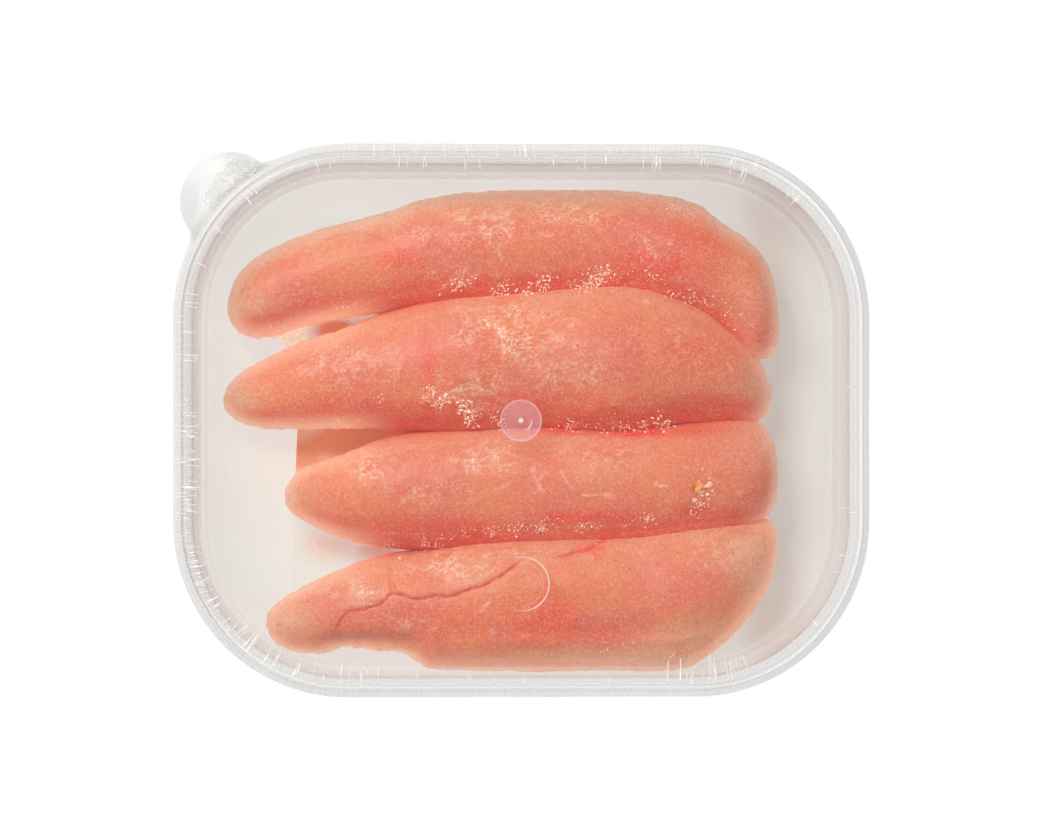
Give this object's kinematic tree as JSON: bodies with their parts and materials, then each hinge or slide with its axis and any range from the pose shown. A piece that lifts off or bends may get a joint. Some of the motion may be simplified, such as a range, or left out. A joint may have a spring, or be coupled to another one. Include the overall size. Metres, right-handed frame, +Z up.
{
  "type": "tub of salted pollock roe",
  "caption": "Clear, lidded food tub with a corner pull tab and a shrink film band, holding salted roe sacs side by side on an absorbent sheet.",
  "frame": {"origin": "under the middle of the tub's foot, on the surface that it stands on", "axes": "+X along the tub's long side, +Y towards the roe sac that lies at the back, +Z up; seen from above with +Y away, the pull tab is at the far left"},
  "size_m": [0.151, 0.1198, 0.0345],
  "materials": {
    "tub_plastic": "clear, slightly milky moulded polypropylene",
    "lid_plastic": "clear, slightly milky moulded polypropylene, satin panel",
    "shrink_film": "thin clear shrink film with fine pleats",
    "absorbent_sheet": "damp off-white sheet, stained orange by the roe",
    "roe": "moist, translucent salmon-orange membrane over fine eggs, with salt and ice crystals"
  },
  "bodies": {
    "root": {"tub": "tub_plastic", "lid": "lid_plastic", "film_band": "shrink_film", "drip_sheet": "absorbent_sheet", "roe_sac_1": "roe", "roe_sac_2": "roe", "roe_sac_3": "roe", "roe_sac_4": "roe"}
  },
  "joints": []
}
